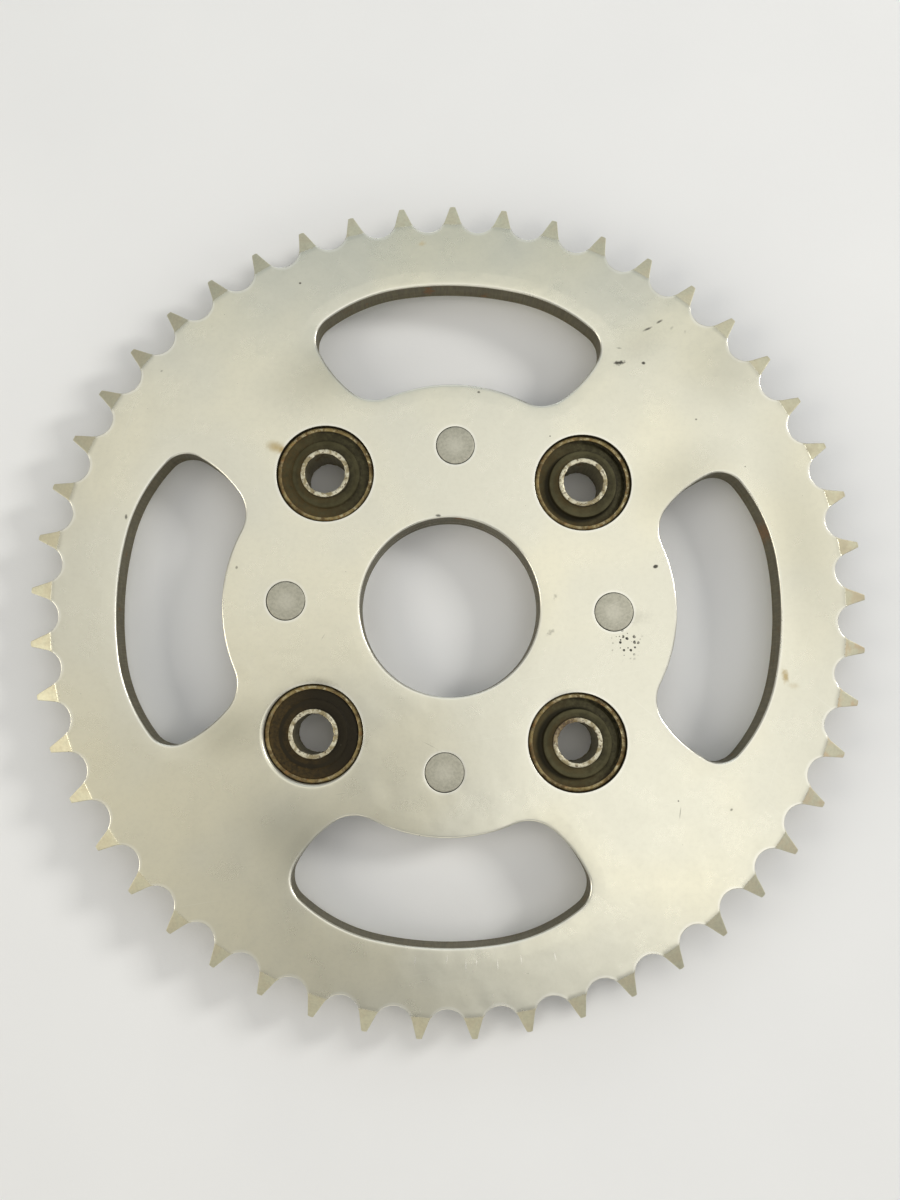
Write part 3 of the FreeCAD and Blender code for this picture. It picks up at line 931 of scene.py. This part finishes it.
CREAM = (0.80, 0.77, 0.615)
COOL = (0.74, 0.725, 0.61)
GRIME_AND_SHADE_COLOUR = (0.035, 0.033, 0.024)
RUST = (0.20, 0.10, 0.035)
BROWN = (0.48, 0.36, 0.15)
SHEARED = (0.115, 0.10, 0.055)
BORE = (0.27, 0.235, 0.13)
OLIVE = (0.62, 0.60, 0.46)
TAN = (0.60, 0.47, 0.32)


def marks(f, places):
    """The strongest of several spots."""
    found = []
    for x, y, length, width, *edge, strength in places:
        found.append((f.spot((x, y), (length, width), *edge), strength))
    return f.most(*found)


def painted_shade_arcs(f):
    """Painted shade: arcs that hug one side of a bush's hole."""
    found = []
    for name, bearing, reach, strength in PAINTED_SHADE_ARCS:
        centre = BUSH_CENTRES[name]
        disc = f.spot(centre, (reach, reach), 0, 0.15)
        patch = f.spot(centre + polar(BUSH_HOLE_RADIUS, math.radians(bearing)), (7.0, 7.0), 0, 1.0, 0.2)
        found.append((f.times(disc, patch), strength))
    return f.most(*found)


def scratches(f, angles, width=0.09, length=30.0):
    """Sparse fine straight lines at a few angles, broken up by a patchy mask."""
    found = []
    for k, angle in enumerate(angles):
        place = f.stretched((length, width * 3, 1.0), math.radians(angle), (7.0 * k, 3.0, 0.0))
        line = f.between(f.noise(1.0, 1.0, 0.5, place), 0.70, 0.76)
        patch = f.between(f.noise(24.0 + 5 * k, 2.0), 0.50, 0.62)
        found.append(f.times(line, patch))
    return f.most(*found)


def plate_face(name, is_marked):
    """Satin zinc-plated steel: cloudy, faintly mottled, with scratches, specks and handling marks, a painted
    highlight along its edges, painted dark reflections and painted shade.
    """
    f = Finish(name)
    broad, cloud, mottle = f.noise(34.0, 2.0), f.noise(7.0, 4.0, 0.6), f.noise(1.3, 4.0, 0.62)
    relief, swell = f.noise(1.6, 1.0), f.noise(8.0, 1.0)
    lines = scratches(f, (11, 74, 142))
    f.colour = f.mix(f.between(broad, 0.35, 0.65), CREAM, COOL)
    f.over((0.62, 0.60, 0.50), f.between(mottle, 0.42, 0.68, 0.0, 0.14))
    f.over((0.95, 0.94, 0.88), lines, 0.12)
    # Painted highlight: lighter within 0.9 mm of an edge.
    f.over((0.92, 0.91, 0.84), f.between(f.mask("reach"), 0.9, 0.1), 0.5)
    dots = f.most(f.specks(5.5, 0.22, 0.35), (f.specks(2.6, 0.12, 0.18), 0.6))
    # Dirt and painted shade: dark specks, plus darkening at the edges of holes from the grime_and_shade mask.
    dirt_and_shade = f.most((f.mask("grime_and_shade"), 0.9), (dots, 0.75))
    rough = f.total((cloud, 0.10), (mottle, 0.03), 0.22)
    if is_marked:
        # Painted reflection: broad darker areas of the face.
        f.over((0.28, 0.275, 0.21), marks(f, PAINTED_DARK_REFLECTIONS))
        patch = f.spot(*SPECKLED_PATCH, 0, 0.7, 0.2)
        cluster = f.most(f.specks(0.9, 0.42, 0.4, "2D"), f.specks(1.4, 0.5, 0.35, "2D"))
        # The marks, specks and smudges are dirt. The arcs beside the bushes are painted shade.
        dirt_and_shade = f.most(dirt_and_shade, marks(f, DARK_MARKS), (cluster, patch), marks(f, SMUDGES), painted_shade_arcs(f))
        bright = marks(f, BRIGHT_SCRATCHES)
        f.over((1.0, 0.99, 0.95), bright, 0.7)
        stain = marks(f, BROWN_MARKS)
        rough = f.total(f.math("SUBTRACT", rough, f.times(bright, 0.1)), (stain, 0.3))
    else:
        stain = f.between(f.noise(9.0, 4.0, 0.65), 0.62, 0.74, 0.0, 0.5)
        rough = f.total(rough, (stain, 0.25), 0.06)
    f.over(BROWN, stain)
    f.over(GRIME_AND_SHADE_COLOUR, dirt_and_shade)
    metal = f.rest_of(1.0, (dirt_and_shade, 0.85), (stain, 0.5))
    return f.made(f.total(rough, (dirt_and_shade, 0.3)), metal, (relief, 0.010), (swell, 0.035), (lines, -0.002))


def tooth_bevel(name):
    """The teeth's machined bevels: duller and more olive than the face, tan where the chain has run, with
    painted shade on the upper right teeth and a painted highlight along the teeth's edge.
    """
    f = Finish(name)
    cloud, mottle, turning = f.noise(4.0, 4.0, 0.6), f.noise(0.7, 3.0, 0.6), f.noise(0.35, 2.0)
    right_side = f.spot((108.0, -5.0), (60.0, 95.0), 0, 1.0)
    upper_right = f.spot((104.0, 36.0), (66.0, 76.0), 0, 0.8)
    f.colour = f.mix(f.between(mottle, 0.35, 0.7, 0.0, 0.5), OLIVE, (0.50, 0.485, 0.37))
    f.over(TAN, f.between(cloud, 0.42, 0.6), f.between(right_side, 0.0, 1.0, 0.15, 0.9))
    # Painted shade: the bevels of the upper right teeth darkened.
    f.over((0.24, 0.23, 0.17), upper_right, 0.85)
    # Painted highlight: lighter along the teeth's outer edge.
    f.over((0.80, 0.78, 0.64), f.between(f.mask("reach"), 0.12, 0.0), 0.35)
    f.over(GRIME_AND_SHADE_COLOUR, f.specks(2.2, 0.18, 0.2), 0.7)
    return f.made(f.total((cloud, 0.15), (mottle, 0.1), 0.42), None, (mottle, 0.012), (turning, 0.004))


def sheared_wall(name, base=SHEARED, rust_level=0.62):
    """Punched walls: dark, scored up and down, with patches of orange rust."""
    f = Finish(name, metallic=0.75)
    upright = f.node("VectorMath", {0: f.place, 1: (1.0, 1.0, 0.07)}, operation="MULTIPLY").outputs[0]
    scores, cloud, grain = f.noise(0.4, 3.0, 0.6, upright), f.noise(5.0, 4.0, 0.62), f.noise(0.5, 3.0)
    rusty_corner = f.spot((80.0, 22.0), (5.0, 4.0), 0, 0.8, 0.3)
    patches = f.most(f.between(cloud, rust_level, rust_level + 0.1), rusty_corner)
    rust = f.times(patches, f.between(grain, 0.3, 0.55, 0.4, 1.0))
    f.colour = f.mix(f.between(scores, 0.35, 0.7), base, tuple(1.4 * c for c in base))
    f.over(RUST, rust)
    # Dirt and painted shade: darker down the walls of holes and bores.
    f.over(GRIME_AND_SHADE_COLOUR, f.mask("grime_and_shade"), 0.8)
    rough = f.total((cloud, 0.2), (rust, 0.25), 0.38)
    return f.made(rough, f.rest_of(0.75, (rust, 0.7)), (scores, 0.03), (grain, 0.02), (rust, 0.03))


def peened_steel(name):
    """Rivet ends: matt grey metal, dented by the riveting tool and brighter in the middle, where the
    lightness is a painted highlight.
    """
    f = Finish(name)
    dents, mottle, grain = f.noise(1.6, 2.0), f.noise(0.6, 4.0, 0.65), f.noise(0.2, 2.0)
    middle = f.between(f.mask("reach"), 3.6, 0.6)
    # Dirt and painted shade: dark round the rivet's rim and down its sides, with dark specks.
    dirt_and_shade = f.most(f.mask("grime_and_shade"), (f.specks(1.4, 0.14, 0.3), 0.6))
    f.colour = f.mix(f.between(mottle, 0.35, 0.7), (0.50, 0.485, 0.40), (0.40, 0.39, 0.32))
    # Painted highlight: the domed middle of the rivet end lighter.
    f.over((0.66, 0.64, 0.54), middle, 0.45)
    f.over((0.8, 0.79, 0.7), scratches(f, (30, 118), 0.06, 6.0), 0.4)
    f.over(GRIME_AND_SHADE_COLOUR, dirt_and_shade)
    rough = f.total((mottle, 0.12), (middle, -0.06), 0.42)
    return f.made(rough, f.rest_of(1.0, (dirt_and_shade, 0.8)), (dents, 0.05), (mottle, 0.02), (grain, 0.004))


def rusted_rim(name):
    """Outer sleeves: bronze-brown rust over steel, with flecks rubbed bright along the rim and painted
    brighter on its lit upper right, a painted highlight; dirt and painted shade darken the sides.
    """
    f = Finish(name, metallic=0.6)
    blotch, fleck, grain = f.noise(2.4, 4.0, 0.65), f.noise(1.5, 3.0, 0.65), f.noise(0.25, 2.0)
    height = f.between(f.mask("grime_and_shade"), 0.35, 0.0)
    # The flecks are rubbed bright metal, painted brighter towards the lit upper right: painted highlight.
    side = f.between(f.mask("side"), -1.0, 0.7, 0.3, 1.0)
    bright = f.times(f.times(f.between(fleck, 0.48, 0.68), height), side)
    f.colour = f.mix(f.between(blotch, 0.38, 0.62), (0.28, 0.215, 0.085), (0.12, 0.078, 0.025))
    f.over((0.28, 0.13, 0.035), f.between(f.noise(1.1, 3.0), 0.56, 0.66, 0.0, 0.5))
    f.over((0.64, 0.57, 0.36), bright, 0.85)
    # Dirt and painted shade: near black down the sleeve's sides and in the gap beside the plate.
    f.over((0.03, 0.022, 0.014), f.mask("grime_and_shade"), 0.75)
    rough, metal = f.between(bright, 0.0, 1.0, 0.62, 0.34), f.between(bright, 0.0, 1.0, 0.35, 1.0)
    return f.made(rough, metal, (blotch, 0.05), (fleck, 0.05), (grain, 0.01))


def clamped_end(name):
    """Inner sleeves' ends: pale steel, pitted and scuffed by the hub and the bolt's washer."""
    f = Finish(name, metallic=0.9)
    pits, blotch, grain = f.noise(0.7, 3.0, 0.62), f.noise(1.6, 3.0, 0.6), f.noise(0.2, 2.0)
    rusty = f.spot(BUSH_CENTRES["lower_right"] + np.array([-3.4, 3.4]), (6.2, 6.2), 0, 0.7, 0.2)
    holes = f.between(f.total(pits, (rusty, 0.14)), 0.55, 0.66)
    f.colour = f.mix(f.between(blotch, 0.4, 0.62), (0.68, 0.64, 0.49), (0.33, 0.28, 0.165))
    f.over((0.22, 0.15, 0.07), rusty, 0.75)
    f.over((0.09, 0.06, 0.035), holes, 0.85)
    # Dirt and painted shade: darker down the sleeve's sides than on its end.
    f.over((0.06, 0.045, 0.03), f.mask("grime_and_shade"), 0.8)
    rough, metal = f.total((blotch, 0.15), (holes, 0.25), 0.36), f.between(holes, 0.0, 1.0, 0.9, 0.3)
    return f.made(rough, metal, (pits, -0.09), (blotch, 0.06), (grain, 0.01))


def painted_pad_shadows(f):
    """Painted shadow: dark crescents beside the pads of the two bushes on the right, on the pads' lower left.
    """
    found = []
    for name, lean in (("upper_right", (-0.6, -0.9)), ("lower_right", (-1.0, -0.3))):
        centre = BUSH_CENTRES[name]
        reach = PAD_RADIUS + 0.9
        disc = f.spot(centre + np.array(lean), (reach, reach), 0, 0.1)
        pad = f.spot(centre + np.array(PAD_SHIFTS[name]), (PAD_RADIUS, PAD_RADIUS), 0, 0.03)
        found.append((disc, f.rest_of(1.0, pad)))
    return f.most(*found)


def aged_rubber(name):
    """Moulded bush rubber: olive-black, dusty, browner beside the rusting sleeves, with painted shade in the
    grooves' upper right and painted shadows beside the right-hand pads.
    """
    f = Finish(name, metallic=0.0, specular=0.16)
    dust, grain, crumbs = f.noise(3.2, 4.0, 0.6), f.noise(0.3, 3.0, 0.6), f.noise(0.9, 3.0, 0.65)
    f.colour = f.mix(f.between(dust, 0.35, 0.68), (0.054, 0.048, 0.022), (0.084, 0.076, 0.038))
    f.over((0.013, 0.009, 0.004), f.spot(BUSH_CENTRES["lower_left"], (14.0, 14.0), 0, 0.1), 0.9)
    f.over((0.028, 0.023, 0.006), f.spot(BUSH_CENTRES["upper_left"], (14.0, 14.0), 0, 0.1), 0.3)
    # Brown silt towards the grooves' lower left, turning to painted shade, near black, towards their upper
    # right.
    silt_and_shade = f.mix(f.between(f.mask("side"), -0.8, 0.6), (0.085, 0.055, 0.018), (0.012, 0.009, 0.004))
    f.over(silt_and_shade, f.mask("grime_and_shade"), f.between(crumbs, 0.3, 0.65, 0.15, 0.8))
    # Painted shadow beside the right-hand pads.
    f.over((0.009, 0.008, 0.003), painted_pad_shadows(f), 0.85)
    f.over((0.20, 0.18, 0.13), f.specks(0.9, 0.1, 0.16), 0.5)
    return f.made(f.total((dust, 0.2), (grain, 0.1), 0.5), None, (grain, 0.02), (crumbs, 0.05))


# ---- assembly

chance = random.Random(SEED)
face = plate_face("zinc_plated_face", True)
backing_face = plate_face("zinc_plated_backing", False)
bevel = tooth_bevel("tooth_bevels")
wall = sheared_wall("sheared_walls")
rivet_finish = peened_steel("peened_rivets")
rim_finish = rusted_rim("rusted_sleeve_rims")
end_finish = clamped_end("clamped_sleeve_ends")
bore_finish = sheared_wall("sleeve_bores", BORE, 0.6)
rubber_finish = aged_rubber("bush_rubber")


def hand_over(piece, body, node):
    """Puts a finished piece in the place of its CAD node."""
    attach(piece, body)
    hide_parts(node)


def hole(centre, radius, count, *shape):
    return Border(circle(centre, radius, count)[::-1], *shape)


def bush_hole(centre, edge_radii, rolls, band):
    return hole(centre, BUSH_HOLE_RADIUS, BUSH_HOLE_POINTS, rolls, band, 2, 0.0, edge_radii, 0.65)


def pressed_over(centre):
    """The edge radius round the lower left bush's hole, rolled over where the bush went in askew."""
    offsets = circle(centre, 1.0, BUSH_HOLE_POINTS)[::-1] - centre
    return 0.12 + 0.72 * np.clip((offsets @ np.array([-0.77, -0.64]) + 0.45) / 1.1, 0, 1)


def centre_hole(rolls, wall_rows, edge_radii):
    band = (0.7, 1.4, 2.2, 3.0)
    return hole((0.0, 0.0), CENTRE_HOLE_RADIUS, CENTRE_HOLE_POINTS, rolls, band, wall_rows, 0.05, edge_radii)


def sprocket_borders():
    slot = slot_outline()
    borders = []
    for quarter in range(4):
        outline = turned(slot, quarter * math.pi / 2)
        borders.append(Border(outline, (0.0, 0.11), (0.7, 1.4, 2.2, 3.0, 3.5, 3.7), 9, 0.07, (0.25, 0.38)))
    borders.append(centre_hole((0.0, 0.06), 9, (0.05, 0.38)))
    for name, centre in BUSH_CENTRES.items():
        front_edge = pressed_over(centre) if name == "lower_left" else 0.12
        borders.append(bush_hole(centre, (0.05, front_edge), (0.0, 0.04), (1.0, 1.5, 2.1, 2.9)))
    for centre in RIVET_CENTRES.values():
        shape = ((0.0, 0.02), (0.3, 0.7, 1.2), 1, 0.0, (0.05, 0.06), 1.0)
        borders.append(hole(centre, RIVET_HOLE_RADIUS, RIVET_HOLE_POINTS, *shape))
    return borders


def backing_borders():
    corner = BUSH_CENTRES["upper_right"][0]
    outline = rounded_square(corner + BACKING_CORNER_RADIUS, BACKING_CORNER_RADIUS, 1.0)
    borders = [Border(outline, (0.05, 0.0), (0.6, 0.95), 5, 0.06, (0.38, 0.05))]
    borders.append(centre_hole((0.06, 0.0), 5, (0.38, 0.05)))
    for centre in BUSH_CENTRES.values():
        borders.append(bush_hole(centre, (0.12, 0.05), (0.04, 0.0), (0.6, 1.2, 1.9)))
    sink = (RIVET_HEAD_RADIUS + 0.08 - RIVET_HOLE_RADIUS, RIVET_SINK_DEPTH)
    for centre in RIVET_CENTRES.values():
        shape = ((0.0, 0.0), (0.25, 0.5), 3, 0.0, (0.06, 0.05), 1.0, sink)
        borders.append(hole(centre, RIVET_HOLE_RADIUS, RIVET_HOLE_POINTS, *shape))
    return borders


rim = toothed_rim(chance)
levels = (JOINT_Z, FRONT_Z)
sprocket = plate("toothed_plate", sprocket_borders(), rim, levels, (face, wall, bevel), chance, (0.02, 0.05))
hand_over(sprocket, "sprocket", "sprocket_plate")
levels, materials = (BACK_Z, JOINT_Z), (backing_face, wall)
backing = plate("riveted_backing", backing_borders(), None, levels, materials, chance, (0.05, 0.02))
hand_over(backing, "sprocket", "backing_plate")
for name in RIVET_NAMES:
    piece = rivet(name, chance, (rivet_finish,))
    hand_over(piece, "sprocket", "rivet_" + name)
for name in BUSH_NAMES:
    piece = outer_sleeve(name, chance, (rim_finish,))
    hand_over(piece, "sprocket", "bush_outer_sleeve_" + name)
    piece = inner_sleeve(name, chance, (end_finish, bore_finish))
    hand_over(piece, "sleeve_" + name, "bush_inner_sleeve_" + name)


def bond(piece, name):
    """Bakes the rubber's placement into its mesh, reads its points, which nothing then uses, and hides its
    CAD node.
    """
    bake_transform(piece)
    points = np.empty(len(piece.data.vertices) * 3, np.float32)
    piece.data.vertices.foreach_get("co", points)
    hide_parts("bush_rubber_" + name)


for name in BUSH_NAMES:
    bond(bush_rubber(name, chance, (rubber_finish,)), name)


# ---- floor, light, camera


def floor():
    f = Finish("pale_floor", metallic=0.0, roughness=0.8, specular=0.2)
    cloud, grain = f.noise(60.0, 3.0), f.noise(1.5, 3.0)
    f.colour = f.mix(cloud, (0.80, 0.805, 0.82), (0.86, 0.865, 0.875))
    f.made(None, None, (grain, 0.02))
    mesh = bpy.data.meshes.new("studio_floor")
    half = 3.0
    corners = [(-half, -half, 0), (half, -half, 0), (half, half, 0), (-half, half, 0)]
    mesh.from_pydata(corners, [], [(0, 1, 2, 3)])
    mesh.materials.append(f.material)
    placed("studio_floor", mesh)


DAYLIGHT = (1.0, 0.985, 0.95)

# (name, place, size, watts, colour, whether it faces straight down rather than towards the sprocket)
SOFTBOXES = (
    ("overhead_right", (0.25, 0.035, 0.75), (0.46, 0.67), 0.79, DAYLIGHT, True),
    ("overhead_left", (-0.2, 0.175, 0.75), (0.44, 0.39), 0.345, DAYLIGHT, True),
    ("overhead_far", (-0.05, 0.52, 0.75), (0.8, 0.28), 0.18, (0.75, 0.92, 1.0), True),
    ("near_right", (0.24, -0.2, 0.74), (0.32, 0.26), 0.075, DAYLIGHT, True),
    ("near_left", (-0.3, -0.2, 0.75), (0.3, 0.36), 0.115, (1.0, 0.93, 0.76), True),
    ("key", (1.2, 0.5, 0.75), (0.3, 0.3), 9.0, (1.0, 0.98, 0.92), False),
    ("mid_right", (0.78, 0.38, 0.75), (0.4, 0.6), 0.29, (1.0, 0.985, 0.93), True),
    ("left_fill", (-1.1, -0.25, 0.72), (0.6, 0.9), 5.5, (1.0, 0.94, 0.8), False),
    ("near_fill", (0.0, -1.2, 0.72), (0.9, 0.5), 2.0, (1.0, 0.95, 0.82), False),
    ("right_fill", (1.15, -0.4, 0.62), (0.5, 0.5), 0.8, (1.0, 1.0, 1.0), False),
    ("far_fill", (-0.1, 1.2, 0.6), (0.7, 0.4), 1.6, (0.86, 0.95, 1.0), False),
)


def softbox(name, place, size, watts, colour, faces_down):
    light = bpy.data.lights.new(name, "AREA")
    light.shape = "RECTANGLE"
    light.size, light.size_y = size
    light.energy = watts
    light.color = colour
    box = placed(name, light)
    box.location = place
    box.rotation_mode = "QUATERNION"
    target = Vector((place[0], place[1], 0.0)) if faces_down else Vector()
    box.rotation_quaternion = (target - Vector(place)).to_track_quat("-Z", "Y")


def camera():
    """Looks down on the front face from just over a sprocket's width away."""
    data = bpy.data.cameras.new("camera")
    data.lens = 30.0
    data.sensor_width = 36.0
    data.clip_start = 0.01
    lens = placed("camera", data)
    eye = Vector((-2.2, -21.39, FRONT_Z + 242.4)) * MM
    forward = Vector((0.0088, 0.0943, -0.9955)).normalized()
    up = Vector((-0.0335, 0.995, 0.0939))
    right = forward.cross(up).normalized()
    up = right.cross(forward)
    turn = Matrix((right, up, -forward)).transposed()
    lens.matrix_world = Matrix.Translation(eye) @ turn.to_4x4()
    bpy.context.scene.camera = lens


floor()
for box in SOFTBOXES:
    softbox(*box)
world = bpy.data.worlds.new("studio")
bpy.context.scene.world = world
world.use_nodes = True
sky = world.node_tree.nodes["Background"].inputs
sky["Color"].default_value = (0.98, 0.98, 0.96, 1.0)
sky["Strength"].default_value = 0.33
bpy.context.scene.view_settings.view_transform = "Standard"
camera()
